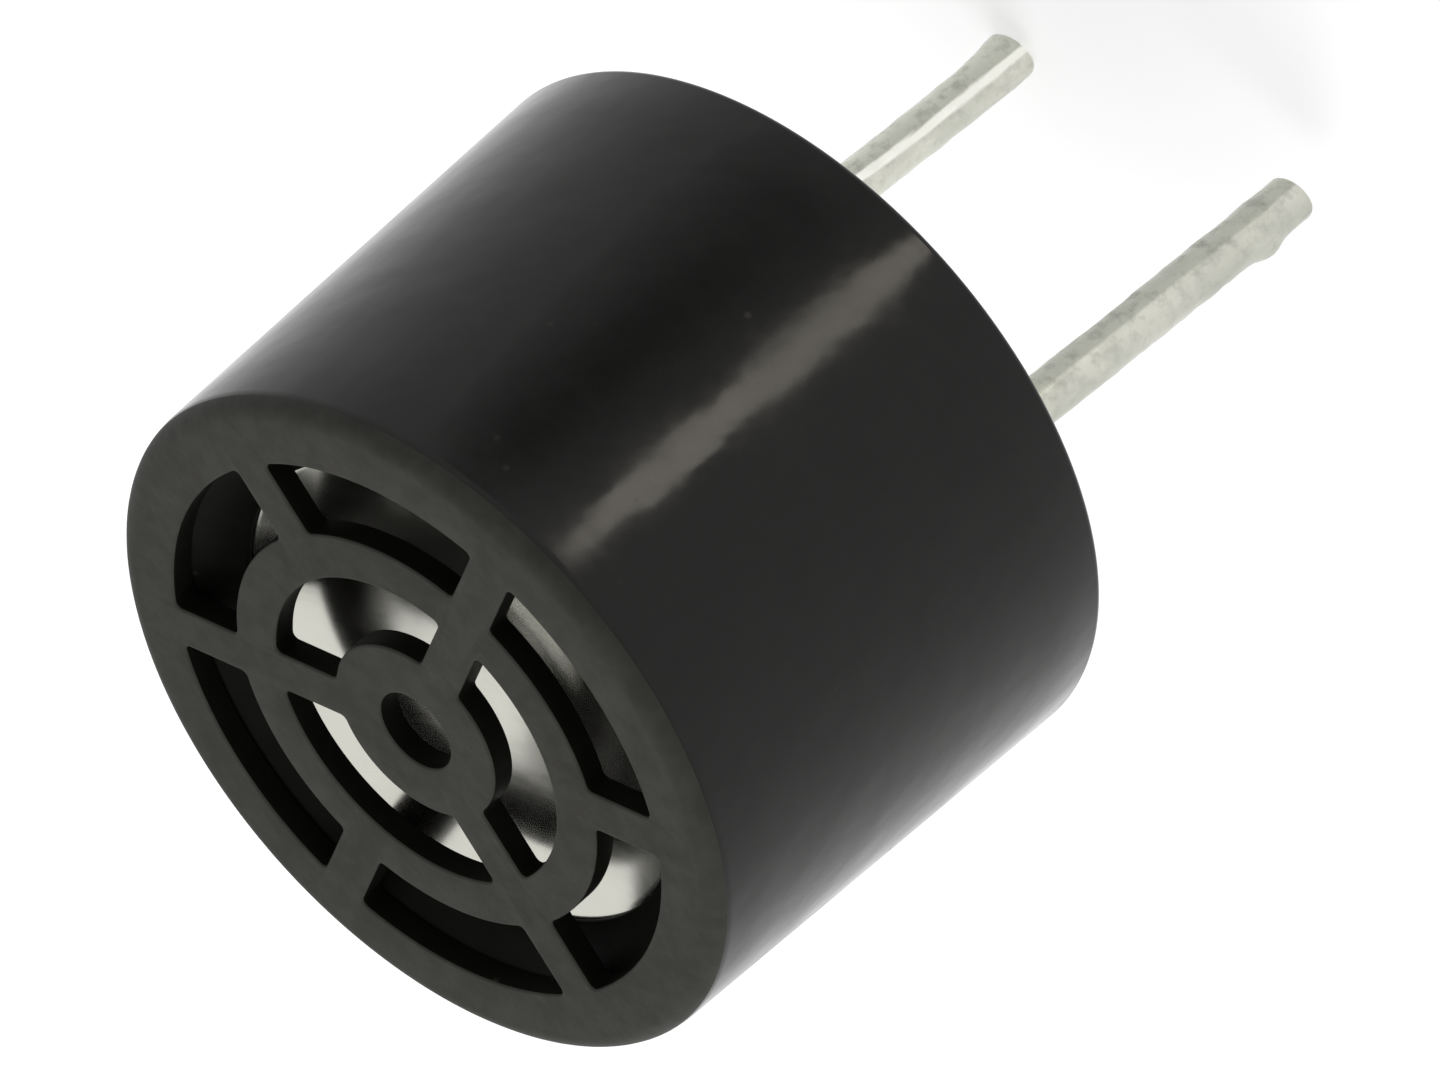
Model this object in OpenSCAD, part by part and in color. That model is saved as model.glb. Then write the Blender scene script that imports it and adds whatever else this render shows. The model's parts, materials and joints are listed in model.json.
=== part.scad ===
// Magnetic buzzer: a round moulded case with a slotted grille, two tinned pins, and the
// sounding parts stacked inside it. Millimetres, +Z up, z = 0 on the seating rim.

/* [Case] */
// Outer diameter at the seating rim
body_d = 12; // [11.6:0.1:16]
// Height from the seating rim to the top of the grille
body_h = 8.5; // [7:0.1:14]
// Lean of the side wall, narrower at the top, in degrees
draft = 1.5; // [0:0.25:2.5]
// Wall thickness at the seating rim
wall = 0.8; // [0.7:0.05:1.5]
// Rounding of the top edge
top_round = 0.35; // [0.1:0.05:0.5]
// Rounding of the bottom edge
foot_round = 0.12; // [0.05:0.01:0.2]
// Width of the lead-in chamfer at the mouth of the bore
mouth_chamfer = 0.15; // [0.05:0.05:0.3]

/* [Grille] */
// Thickness of the grille
grille_t = 0.4; // [0.3:0.05:0.8]
// Diameter of the middle hub
hub_d = 3.06; // [2:0.02:4]
// Diameter of the hole through the hub
hub_hole_d = 1.34; // [0.6:0.02:1.8]
// Radial width of the inner slots
inner_slot_w = 1.17; // [0.8:0.01:1.3]
// Radial width of the ring between the slots
grille_ring_w = 0.77; // [0.5:0.01:1]
// Radial width of the outer slots
outer_slot_w = 1.22; // [0.8:0.01:1.3]
// Width of each spoke
spoke_w = 0.74; // [0.4:0.02:1]
// Number of spokes across the inner slots
inner_spokes = 3; // [2:1:6]
// Number of spokes across the outer slots
outer_spokes = 6; // [3:1:8]
// Angle from the line of the pins to the first spoke, in degrees
spoke_turn = -5; // [-60:1:60]

/* [Pins] */
// Distance between the pin centres
pin_pitch = 6.5; // [5:0.1:7.6]
// Diameter of each pin where it stands out of the case
pin_d = 0.75; // [0.5:0.05:0.85]
// Diameter of a pin's root, the stepped part inside the resin and the terminal board
pin_root_d = 1.1; // [1:0.05:1.3]
// Depth of resin over the step
root_cover = 0.1; // [0.05:0.05:0.2]
// Length of the long pin below the seating rim
long_pin = 8.7; // [4:0.1:12]
// Length of the short pin below the seating rim
short_pin = 7.7; // [4:0.1:12]

/* [Diaphragm] */
// Thickness of the diaphragm
diaphragm_t = 0.08; // [0.05:0.01:0.15]
// Depth of its dish from the rim to the middle
dish_depth = 0.92; // [0.3:0.02:1.2]
// Height of the shallow step in the dish, from the flat middle to the knee
knee_rise = 0.2; // [0.05:0.01:0.25]
// Diameter of the knee
knee_d = 3; // [2:0.1:4]
// Diameter of the flat middle
dish_flat_d = 1.2; // [0.6:0.1:1.8]
// Diameter of the armature disc under the middle
armature_d = 2.6; // [1.6:0.1:3]
// Thickness of the armature disc
armature_t = 0.25; // [0.1:0.05:0.5]
// Gap between the armature disc and the core
air_gap = 0.3; // [0.15:0.05:0.5]

/* [Diaphragm rings] */
// Height of the retaining ring above the diaphragm
retainer_h = 0.68; // [0.4:0.02:1.2]
// Width of the retaining ring where it meets the diaphragm
retainer_w = 1.08; // [0.7:0.02:1.3]
// Height of the straight foot of the retaining ring's inner wall
retainer_foot = 0.12; // [0.05:0.01:0.3]
// Clearance from the outer slots to the retaining ring
slot_clear = 0.1; // [0.05:0.05:0.2]
// Wall thickness of the support ring
support_w = 0.6; // [0.4:0.05:0.8]
// Width of the lip that centres the diaphragm
lip_w = 0.15; // [0.1:0.01:0.25]

/* [Magnet and core] */
// Thickness of the yoke plate
yoke_t = 0.7; // [0.4:0.05:1]
// Gap between the magnet and the support ring
magnet_gap = 0.15; // [0.05:0.05:0.3]
// Radial width of the ring magnet
magnet_w = 1.2; // [0.8:0.05:1.3]
// Diameter of the core
core_d = 2; // [1.4:0.1:2.6]
// Diameter of the core's stake in the yoke plate
stake_d = 1.5; // [1:0.1:2]
// Height of the core above the bobbin
core_proud = 0.3; // [0.1:0.05:0.5]

/* [Coil] */
// Gap between the bobbin's flanges and the magnet
coil_gap = 0.3; // [0.1:0.05:0.5]
// Wall thickness of the bobbin's tube
bobbin_wall = 0.25; // [0.15:0.05:0.4]
// Thickness of each bobbin flange
flange_t = 0.3; // [0.2:0.05:0.5]
// Height of the flanges above the winding, measured along the radius
flange_lip = 0.2; // [0.1:0.05:0.4]
// Diameter of the winding wire with its enamel
wire_d = 0.12; // [0.08:0.01:0.2]
// Diameter of the holes that the wire ends pass through
wire_hole_d = 0.36; // [0.3:0.02:0.5]
// Least width of board between a wire hole and a pin hole
hole_web = 0.15; // [0.1:0.05:0.3]

/* [Bottom closure] */
// Depth of the resin's surface inside the mouth
resin_recess = 0.2; // [0.1:0.05:0.5]
// Thickness of the sealing resin
resin_t = 0.85; // [0.75:0.05:1.5]
// Thickness of the terminal board
board_t = 0.8; // [0.6:0.05:1.2]
// Distance from the top of a pin to the top of the terminal board
pin_sunk = 0.2; // [0.1:0.05:0.4]
// Clearance between the terminal board and the case
board_clear = 0.1; // [0.05:0.05:0.2]
// Clearance of a pin in the terminal board
pin_clear = 0.05; // [0.02:0.01:0.1]
// Diameter of the solder at the terminal board
solder_d = 1.9; // [1.7:0.1:2.2]
// Height of the solder cone on a pin
solder_h = 0.5; // [0.3:0.05:0.6]
// Width of the solder land that runs to the wire end
land_w = 0.5; // [0.3:0.05:0.8]
// Thickness of the solder land
land_t = 0.15; // [0.1:0.01:0.25]

/* [Fits] */
// Clearance of a ring or plate that slips into another piece
slip = 0.05; // [0.02:0.01:0.1]

/* [Hidden] */
$fn = 96;

// Cutters run past the faces that they open by this much
past = 1;

// Steps in the arcs that round the case's bottom and top edges
foot_steps = 4;
top_steps = 8;

// Radii, from the wall inwards
foot_r = body_d / 2;
bore_r = foot_r - wall;
ring_r = bore_r - slip;
support_bore_r = ring_r - support_w;
diaphragm_r = ring_r - lip_w - slip;
yoke_r = support_bore_r - slip;
magnet_r = support_bore_r - magnet_gap;
magnet_bore_r = magnet_r - magnet_w;
flange_r = magnet_bore_r - coil_gap;
winding_r = flange_r - flange_lip;
tube_bore_r = core_d / 2 + slip;
tube_r = tube_bore_r + bobbin_wall;
pin_hole_r = pin_root_d / 2 + pin_clear;
wire_x = min(winding_r, pin_pitch / 2 - pin_hole_r - hole_web) - wire_hole_d / 2;

// Radii of the grille, from the hub outwards
inner_slot_r = hub_d / 2 + inner_slot_w;
outer_slot_in_r = inner_slot_r + grille_ring_w;
outer_slot_r = outer_slot_in_r + outer_slot_w;
retainer_low_r = ring_r - retainer_w;
retainer_top_r = outer_slot_r + slot_clear;

// Heights from the seating rim up
root_z = resin_recess + root_cover;
resin_top_z = resin_recess + resin_t;
board_top_z = resin_top_z + board_t;
pin_top_z = board_top_z - pin_sunk;
wire_low_z = resin_top_z - land_t;
yoke_top_z = board_top_z + yoke_t;

// Heights from the grille down
plate_z = body_h - grille_t;
rim_z = plate_z - retainer_h;
dish_z = rim_z - dish_depth;
armature_top_z = dish_z - diaphragm_t;
core_top_z = armature_top_z - armature_t - air_gap;
bobbin_top_z = core_top_z - core_proud;

// Places of the pins along X
pins = [pin_pitch / 2, -pin_pitch / 2];

// A straight ring with its lower face at z = 0
module tube(outer_r, inner_r, h) {
    difference() {
        cylinder(r = outer_r, h = h);
        translate([0, 0, -past]) cylinder(r = inner_r, h = h + 2 * past);
    }
}

// Upright round bars at the two places where the wire ends come down
module wire_bars(d, z0, h) {
    for (side = [-1, 1]) translate([side * wire_x, 0, z0]) cylinder(d = d, h = h);
}

// Upright round bars at the two pin places
module pin_bars(r, z0, h) {
    for (x = pins) translate([x, 0, z0]) cylinder(r = r, h = h);
}

// Centre of a corner rounding that touches the leaning side wall, at height z
function corner_x(round, z) = foot_r - round / cos(draft) - z * tan(draft);

// Points along an arc from one angle to another
function arc(x, z, r, from, to, steps) = [
    for (i = [0 : steps])
        let (a = from + (to - from) * i / steps)
            [x + r * cos(a), z + r * sin(a)]
];

// Right half of the case's outline, with both outer corners rounded
module case_outline() {
    top_z = body_h - top_round;
    polygon(concat(
        [[0, 0]],
        arc(corner_x(foot_round, foot_round), foot_round, foot_round, -90, draft, foot_steps),
        arc(corner_x(top_round, top_z), top_z, top_round, draft, 90, top_steps),
        [[0, body_h]]
    ));
}

// One ring of slots, cut from a full ring by its spokes
module slot_ring(in_r, out_r, spokes) {
    difference() {
        translate([0, 0, plate_z - past]) tube(out_r, in_r, grille_t + 2 * past);
        for (i = [0 : spokes - 1])
            rotate([0, 0, spoke_turn + i * 360 / spokes])
                translate([0, -spoke_w / 2, plate_z - 2 * past])
                    cube([foot_r, spoke_w, grille_t + 4 * past]);
    }
}

module housing() {
    color("#26251f")
    difference() {
        rotate_extrude() case_outline();
        translate([0, 0, -past]) cylinder(r = bore_r, h = plate_z + past);
        translate([0, 0, -past])
            cylinder(r1 = bore_r + mouth_chamfer + past, r2 = bore_r, h = mouth_chamfer + past);
        translate([0, 0, plate_z - past]) cylinder(d = hub_hole_d, h = grille_t + 2 * past);
        slot_ring(hub_d / 2, inner_slot_r, inner_spokes);
        slot_ring(outer_slot_in_r, outer_slot_r, outer_spokes);
    }
}

// Ring whose inner wall opens upwards from the diaphragm to the edge of the outer slots
module retaining_ring() {
    color("#1b1a17")
    rotate_extrude()
        polygon([
            [retainer_low_r, rim_z],
            [ring_r, rim_z],
            [ring_r, plate_z],
            [retainer_top_r, plate_z],
            [retainer_low_r, rim_z + retainer_foot]
        ]);
}

// Upper side of the diaphragm as [radius, height] corners, from the middle to the rim
dish_corners = [
    [0, dish_z],
    [dish_flat_d / 2, dish_z],
    [knee_d / 2, dish_z + knee_rise],
    [retainer_low_r, rim_z],
    [diaphragm_r, rim_z]
];
function lowered(corners, by) = [for (c = corners) [c[0], c[1] - by]];
function reversed(list) = [for (i = [len(list) - 1 : -1 : 0]) list[i]];

module diaphragm() {
    color("#d8d7d0")
    rotate_extrude()
        polygon(concat(dish_corners, reversed(lowered(dish_corners, diaphragm_t))));
}

module armature_disc() {
    color("#9a9a98")
    translate([0, 0, armature_top_z - armature_t]) cylinder(d = armature_d, h = armature_t);
}

// Ring that stands on the board, with a lip that centres the diaphragm on its seat
module support_ring() {
    color("#33322e")
    difference() {
        translate([0, 0, board_top_z]) tube(ring_r, support_bore_r, rim_z - board_top_z);
        translate([0, 0, rim_z - diaphragm_t])
            cylinder(r = diaphragm_r + slip, h = diaphragm_t + past);
    }
}

module ring_magnet() {
    color("#4a4a4c")
    translate([0, 0, yoke_top_z])
        tube(magnet_r, magnet_bore_r, bobbin_top_z - yoke_top_z);
}

module yoke_plate() {
    color("#a9abad")
    difference() {
        translate([0, 0, board_top_z]) cylinder(r = yoke_r, h = yoke_t);
        translate([0, 0, board_top_z - past]) cylinder(d = stake_d, h = yoke_t + 2 * past);
        wire_bars(wire_hole_d, board_top_z - past, yoke_t + 2 * past);
    }
}

module pole_core() {
    color("#b4b5b6")
    union() {
        translate([0, 0, yoke_top_z]) cylinder(d = core_d, h = core_top_z - yoke_top_z);
        translate([0, 0, board_top_z]) cylinder(d = stake_d, h = yoke_t);
    }
}

module coil_bobbin() {
    tube_h = bobbin_top_z - yoke_top_z;
    color("#cfc9b4")
    difference() {
        union() {
            translate([0, 0, yoke_top_z]) cylinder(r = tube_r, h = tube_h);
            translate([0, 0, yoke_top_z]) cylinder(r = flange_r, h = flange_t);
            translate([0, 0, bobbin_top_z - flange_t]) cylinder(r = flange_r, h = flange_t);
        }
        translate([0, 0, yoke_top_z - past]) cylinder(r = tube_bore_r, h = tube_h + 2 * past);
        wire_bars(wire_hole_d, yoke_top_z - past, flange_t + past);
    }
}

// The wound turns as one body, with the two wire ends that run down to the solder lands
module coil_winding() {
    low_z = yoke_top_z + flange_t;
    color("#b5622c")
    union() {
        translate([0, 0, low_z])
            tube(winding_r, tube_r, bobbin_top_z - flange_t - low_z);
        wire_bars(wire_d, wire_low_z, low_z - wire_low_z + flange_t);
    }
}

module terminal_board() {
    color("#6f5a35")
    difference() {
        translate([0, 0, resin_top_z]) cylinder(r = bore_r - board_clear, h = board_t);
        pin_bars(pin_hole_r, resin_top_z - past, board_t + 2 * past);
        wire_bars(wire_hole_d, resin_top_z - past, board_t + 2 * past);
    }
}

module pin(x, length) {
    color("#c9cac4")
    union() {
        translate([x, 0, -length]) cylinder(d = pin_d, h = length + root_z);
        translate([x, 0, root_z]) cylinder(d = pin_root_d, h = pin_top_z - root_z);
    }
}
module pin_long() { pin(pins[0], long_pin); }
module pin_short() { pin(pins[1], short_pin); }

// The solder under the board: a cone on each pin and a land that reaches the wire end
module solder_forms() {
    reach = pin_pitch / 2 - wire_x + wire_hole_d / 2;
    for (x = pins) {
        translate([x, 0, resin_top_z - solder_h])
            cylinder(r1 = pin_root_d / 2 + land_t, r2 = solder_d / 2, h = solder_h);
        translate([x > 0 ? x - reach : x, -land_w / 2, wire_low_z])
            cube([reach, land_w, land_t]);
    }
}

module solder_joints() {
    color("#b9bab6")
    difference() {
        solder_forms();
        pin_long();
        pin_short();
        wire_bars(wire_d, wire_low_z, land_t + past);
    }
}

module sealing_resin() {
    color("#1d1d1f")
    difference() {
        translate([0, 0, resin_recess]) cylinder(r = bore_r - slip, h = resin_t);
        pin_long();
        pin_short();
        solder_forms();
    }
}

housing();
retaining_ring();
diaphragm();
armature_disc();
support_ring();
ring_magnet();
yoke_plate();
pole_core();
coil_bobbin();
coil_winding();
terminal_board();
pin_long();
pin_short();
solder_joints();
sealing_resin();
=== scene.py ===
"""Looks of a magnetic buzzer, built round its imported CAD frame.

The case, retaining ring, diaphragm, leads, resin and coil are modelled again with finer
shapes. The other CAD nodes stay and get their own finishes. All places are in metres.
"""

import json
import math

import bpy
from mathutils import Matrix, Vector

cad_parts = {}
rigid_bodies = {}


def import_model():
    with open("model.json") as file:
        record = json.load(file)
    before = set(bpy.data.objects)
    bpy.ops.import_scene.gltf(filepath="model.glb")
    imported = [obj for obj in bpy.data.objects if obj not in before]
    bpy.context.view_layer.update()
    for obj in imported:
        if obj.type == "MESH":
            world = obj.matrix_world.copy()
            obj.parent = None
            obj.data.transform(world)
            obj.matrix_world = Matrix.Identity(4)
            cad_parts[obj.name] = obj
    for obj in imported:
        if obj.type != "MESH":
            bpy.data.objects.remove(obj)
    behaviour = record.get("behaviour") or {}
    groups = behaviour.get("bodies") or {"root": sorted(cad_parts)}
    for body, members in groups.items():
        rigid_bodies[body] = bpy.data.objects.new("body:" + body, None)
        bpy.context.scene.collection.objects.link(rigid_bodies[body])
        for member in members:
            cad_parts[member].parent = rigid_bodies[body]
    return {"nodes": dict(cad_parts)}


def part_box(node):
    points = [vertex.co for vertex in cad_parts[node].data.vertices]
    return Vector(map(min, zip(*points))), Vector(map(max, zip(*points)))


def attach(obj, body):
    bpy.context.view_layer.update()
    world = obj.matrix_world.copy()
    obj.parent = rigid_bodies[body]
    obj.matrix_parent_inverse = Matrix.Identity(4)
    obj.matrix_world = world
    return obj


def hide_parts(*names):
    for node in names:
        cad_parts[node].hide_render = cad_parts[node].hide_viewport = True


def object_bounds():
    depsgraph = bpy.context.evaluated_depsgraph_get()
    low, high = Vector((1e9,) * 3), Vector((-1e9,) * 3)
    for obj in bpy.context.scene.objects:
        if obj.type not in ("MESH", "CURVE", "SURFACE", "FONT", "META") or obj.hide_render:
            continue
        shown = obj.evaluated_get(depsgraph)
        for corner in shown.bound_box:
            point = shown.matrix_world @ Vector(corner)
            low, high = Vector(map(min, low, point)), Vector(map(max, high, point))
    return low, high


bl_info = {
    "name": "Magnetic Buzzer",
    "version": (1, 0, 0),
    "blender": (4, 5, 0),
    "location": "3D View > Sidebar > Buzzer",
    "description": "Case, grille, diaphragm, leads, resin and coil of a magnetic buzzer",
    "category": "Object",
}

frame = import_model()
cad_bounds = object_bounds()
case_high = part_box("housing")[1]
foil_low, foil_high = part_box("diaphragm")
ring_low, ring_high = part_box("retaining_ring")
resin_low, resin_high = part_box("sealing_resin")
coil_low, coil_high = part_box("coil_winding")
long_low, long_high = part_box("pin_long")
short_low, short_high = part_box("pin_short")

long_x = (long_low.x + long_high.x) / 2
short_x = (short_low.x + short_high.x) / 2

MM = 0.001
TAU = math.tau
MERGE = 1e-6
AROUND = 240
BUMP_DEPTH = 0.01 * MM
CREEP_POWER = 2.2


# Properties


def length(label, description, mm, low=0.0, high=20.0):
    """A length in metres, given in millimetres."""
    return bpy.props.FloatProperty(
        name=label, description=description, default=mm * MM, min=low * MM, max=high * MM,
        subtype="DISTANCE", unit="LENGTH", precision=6,
    )


def angle(label, description, degrees):
    """An angle in radians, given in degrees."""
    return bpy.props.FloatProperty(
        name=label, description=description, default=math.radians(degrees),
        subtype="ANGLE", unit="ROTATION",
    )


def colour(label, description, value):
    """A linear colour."""
    return bpy.props.FloatVectorProperty(
        name=label, description=description, default=value, size=3, min=0.0, max=1.0,
        subtype="COLOR",
    )


def share(label, description, value, high=1.0):
    """A plain number from nothing up."""
    return bpy.props.FloatProperty(
        name=label, description=description, default=value, min=0.0, max=high, subtype="FACTOR",
    )


def count(label, description, value):
    """A whole number of things."""
    return bpy.props.IntProperty(name=label, description=description, default=value, min=1)


class CaseSizes(bpy.types.PropertyGroup):
    """Sizes of the moulded case and its grille"""

    foot_radius: length("Foot radius", "Outer radius at the seating rim", 6.0)
    height: length("Height", "Height of the grille's face over the seating rim", case_high.z / MM)
    draft: angle("Draft", "Lean of the side wall", 1.5)
    bore_radius: length("Bore radius", "Inner radius of the wall", 5.2)
    foot_round: length("Foot round", "Rounding of the bottom edge", 0.12)
    top_round: length("Top round", "Rounding of the top edge", 0.35)
    chamfer: length("Mouth chamfer", "Chamfer at the mouth of the bore", 0.15)
    grille: length("Grille thickness", "Thickness of the grille", 0.4)
    hub_hole: length("Hub hole radius", "Radius of the hole through the hub", 0.67)
    hub: length("Hub radius", "Outer radius of the hub", 1.53)
    inner_slot: length("Inner slot width", "Radial width of the inner slots", 1.17)
    ring: length("Ring width", "Width of the ring between the slots", 0.77)
    outer_slot: length("Outer slot width", "Radial width of the outer slots", 1.22)
    spoke: length("Spoke width", "Width of a spoke", 0.74)
    inner_spokes: count("Inner spokes", "Spokes across the inner slots", 3)
    outer_spokes: count("Outer spokes", "Spokes across the outer slots", 6)
    turn: angle("Spoke turn", "Angle from the line of the leads to the first spoke", -5)
    lip: length("Slot lip", "Rounding of the slots' upper edges", 0.05)
    corner: length("Slot corner", "Rounding of the slots' corners in plan", 0.1)


class RetainerSizes(bpy.types.PropertyGroup):
    """Sizes of the ring that holds the diaphragm down"""

    low_radius: length("Low radius", "Inner radius at the diaphragm", 4.07)
    top_radius: length("Top radius", "Inner radius under the grille", 4.79)
    foot: length("Foot", "Height of the straight foot of the inner wall", 0.12)
    edge: length("Edge", "Rounding of the foot's edge", 0.04)


class DiaphragmSizes(bpy.types.PropertyGroup):
    """Sizes of the dished foil"""

    thickness: length("Thickness", "Thickness of the foil", 0.08)
    seat: length("Seat radius", "Radius at which the flat seat ends", 4.05)
    flat: length("Flat middle", "Radius over which the middle eases into the dish", 1.44)
    slope: share("Slope", "Mean slope of the dish", 0.276)
    wave: share("Wave", "Change of slope over the stiffening wave", 0.046)
    crest: length("Crest", "Radius of the steepest turn of the wave", 2.03)
    pitch: length("Pitch", "Radial length of the wave", 2.2)


class LeadSizes(bpy.types.PropertyGroup):
    """Sizes of the two tinned leads"""

    radius: length("Radius", "Radius of a lead", 0.375)
    root: length("Root", "Height inside the case at which the modelled lead begins", 0.6)
    long_lean: length("Long lead's lean", "Sideways place of the long lead's tip", 0.43)
    short_lean: length("Short lead's lean", "Sideways place of the short lead's tip", 0.37)
    lean_towards: angle("Lean direction", "Direction of the lean, from the long lead", 132.4)
    bend: share("Bend", "How evenly the lean is spread: 1 is straight, less bends nearer the resin", 0.65)
    swell: length("Swell", "Growth of a lead's diameter where it was cropped", 0.09)
    crop: angle("Crop", "Slant of the cropped end", 9)
    edge: length("Edge", "Rounding of the cropped end", 0.13)
    lumps: length("Lumps", "Unevenness of the hot tinning", 0.02)


class BottomSizes(bpy.types.PropertyGroup):
    """Sizes of the cast resin in the mouth"""

    climb: length("Climb", "How far the resin climbs the wall", 0.1)
    reach: length("Reach", "How far from the wall the climb begins", 0.3)
    collar: length("Collar", "Radius of the resin's collar round a lead", 0.8)
    collar_climb: length("Collar climb", "How far the resin climbs a lead", 0.14)


class CoilSizes(bpy.types.PropertyGroup):
    """Sizes of the wound coil"""

    wire: length("Wire", "Diameter of the enamelled wire", 0.12)
    tube_radius: length("Tube radius", "Radius of the tube that carries the winding", 1.3)
    low: length("Winding start", "Lower end of the winding", 2.85)
    end_x: length("Wire end", "Distance of the wire ends from the middle", 2.32)


class Finishes(bpy.types.PropertyGroup):
    """Colours of the materials"""

    face: colour("Face", "Black plastic of the grille's textured face", (0.028, 0.0277, 0.0238))
    side: colour("Side", "Black plastic of the smooth side", (0.0065, 0.0062, 0.0055))
    foil: colour("Foil", "Bright rolled metal of the diaphragm", (0.66, 0.655, 0.59))
    tin: colour("Tin", "Tinned lead", (0.75, 0.745, 0.665))
    # Real tarnish patches on the tin, and also the colour of the painted shade run down one side of each
    # lead.
    tarnish: colour("Tarnish", "Dull run on the tin", (0.50, 0.51, 0.44))
    resin: colour("Resin", "Casting resin", (0.016, 0.016, 0.018))
    copper: colour("Copper", "Enamelled copper wire", (0.62, 0.24, 0.09))
    iron: colour("Iron", "Plated soft iron", (0.52, 0.52, 0.51))
    ferrite: colour("Ferrite", "Ground ferrite", (0.055, 0.056, 0.06))
    bobbin: colour("Bobbin", "Natural moulded plastic", (0.62, 0.57, 0.43))
    board: colour("Board", "Laminate of the terminal board", (0.27, 0.16, 0.06))
    # Real black plastic, set darker than the case's outside as painted shade for the inner walls and rings.
    ring: colour("Ring", "Black plastic of the inner walls and the retaining ring", (0.004, 0.004, 0.0033))
    solder: colour("Solder", "Solder", (0.62, 0.62, 0.61))


class StageSettings(bpy.types.PropertyGroup):
    """Camera, lamps and floor"""

    azimuth: angle("Azimuth", "Direction of the camera round the part", -47.65)
    elevation: angle("Elevation", "Height of the camera over the horizon", 30.2)
    roll: angle("Roll", "Turn of the camera about its own axis", -130.96)
    distance: length("Distance", "Distance from the camera to the face", 290, 10, 2000)
    lens: share("Lens", "Focal length in millimetres", 497.0, 2000.0)
    aim_right: length("Aim right", "How far right of the face's middle the camera aims", 4.454)
    aim_up: length("Aim up", "How far above the face's middle the camera aims", 2.797)
    ambient: share("Ambient", "Light of the surroundings on matt surfaces", 0.55, 4.0)
    key: share("Key", "Power of the large softbox in watts", 0.42, 100.0)
    key_distance: length("Softbox distance", "Distance of the softbox from the part", 220, 10, 2000)
    key_size: length("Softbox size", "Width and height of the softbox", 200, 10, 2000)
    streak: share("Streak", "Power of the low strip that shines along the side in watts", 0.00047, 10.0)
    streak_distance: length("Streak distance", "Distance of the strip from the part's middle", 16.3)
    streak_height: length("Streak height", "Height of the strip's middle over the rim", -2.55, -20)
    streak_width: length("Streak width", "Width of the strip", 2.7)
    streak_length: length("Streak length", "Upright length of the strip", 12.1)
    floor: colour("Floor", "Colour of the floor", (0.5, 0.5, 0.5))
    glow: share("Glow", "Light that the floor adds for the eye and for gloss", 0.6, 4.0)


GROUPS = {
    "buzzer_case": CaseSizes,
    "buzzer_retainer": RetainerSizes,
    "buzzer_diaphragm": DiaphragmSizes,
    "buzzer_leads": LeadSizes,
    "buzzer_bottom": BottomSizes,
    "buzzer_coil": CoilSizes,
    "buzzer_finishes": Finishes,
    "buzzer_stage": StageSettings,
}


# Modelling


def select_none():
    """Leaves object mode with nothing selected."""
    if bpy.context.object and bpy.context.object.mode != "OBJECT":
        bpy.ops.object.mode_set(mode="OBJECT")
    for thing in bpy.context.selected_objects:
        thing.select_set(False)


def only(piece):
    """Selects one piece alone."""
    select_none()
    piece.select_set(True)
    bpy.context.view_layer.objects.active = piece


def edit(piece):
    """Enters edit mode on one piece alone."""
    only(piece)
    bpy.ops.object.mode_set(mode="EDIT")


def leave():
    """Goes back to object mode."""
    bpy.ops.object.mode_set(mode="OBJECT")


def chain(name, points):
    """A new piece, one chain of vertices through the points. It is left in edit mode, all selected."""
    select_none()
    bpy.ops.mesh.primitive_plane_add(size=MM, location=(0, 0, 0))
    piece = bpy.context.object
    piece.name = piece.data.name = name
    bpy.ops.object.mode_set(mode="EDIT")
    bpy.ops.mesh.select_mode(type="VERT")
    bpy.ops.mesh.select_all(action="SELECT")
    bpy.ops.mesh.merge(type="CENTER")
    bpy.ops.transform.translate(value=points[0])
    for before, after in zip(points, points[1:]):
        step = Vector(after) - Vector(before)
        bpy.ops.mesh.extrude_vertices_move(TRANSFORM_OT_translate={"value": step})
    bpy.ops.mesh.select_all(action="SELECT")
    return piece


def tidy_shell():
    """Merges doubled vertices and turns every face outwards, in edit mode."""
    bpy.ops.mesh.select_all(action="SELECT")
    bpy.ops.mesh.remove_doubles(threshold=MERGE)
    bpy.ops.mesh.normals_make_consistent(inside=False)


def turned(name, corners, steps=AROUND):
    """A piece turned about Z from its (radius, height) corners. It is left in edit mode."""
    closed = corners[0][0] > 0
    points = [(r, 0, z) for r, z in corners]
    piece = chain(name, points + points[:1] if closed else points)
    bpy.ops.mesh.remove_doubles(threshold=MERGE)
    bpy.ops.mesh.spin(steps=steps, angle=TAU, center=(0, 0, 0), axis=(0, 0, 1))
    tidy_shell()
    return piece


def arc(x, z, radius, start, end, steps):
    """Points along an arc, with its angles in degrees."""
    turns = [math.radians(start + (end - start) * i / steps) for i in range(steps + 1)]
    return [(x + radius * math.cos(a), z + radius * math.sin(a)) for a in turns]


def shade(piece, degrees=35):
    """Smooth shading that keeps edges sharper than the angle."""
    only(piece)
    bpy.ops.object.shade_smooth_by_angle(angle=math.radians(degrees))


def modify(piece, kind, **settings):
    """Adds a modifier and applies it."""
    only(piece)
    modifier = piece.modifiers.new(kind.title(), kind)
    for key, value in settings.items():
        setattr(modifier, key, value)
    bpy.ops.object.modifier_apply(modifier=modifier.name)


def join(piece, others):
    """Joins the other objects into a piece, which keeps its name."""
    only(piece)
    for other in others:
        other.select_set(True)
    bpy.ops.object.join()
    return piece


def place(piece, node, slot, *materials):
    """Hands a finished piece to the frame in place of a CAD node."""
    piece.data.materials.clear()
    for finish in materials:
        piece.data.materials.append(finish)
    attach(piece, "root")
    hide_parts(node)


# Shader parts


def feed(tree, socket, value):
    """Links a socket to an input, or sets the input to a value."""
    if isinstance(value, bpy.types.NodeSocket):
        tree.links.new(value, socket)
    else:
        socket.default_value = value


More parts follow.
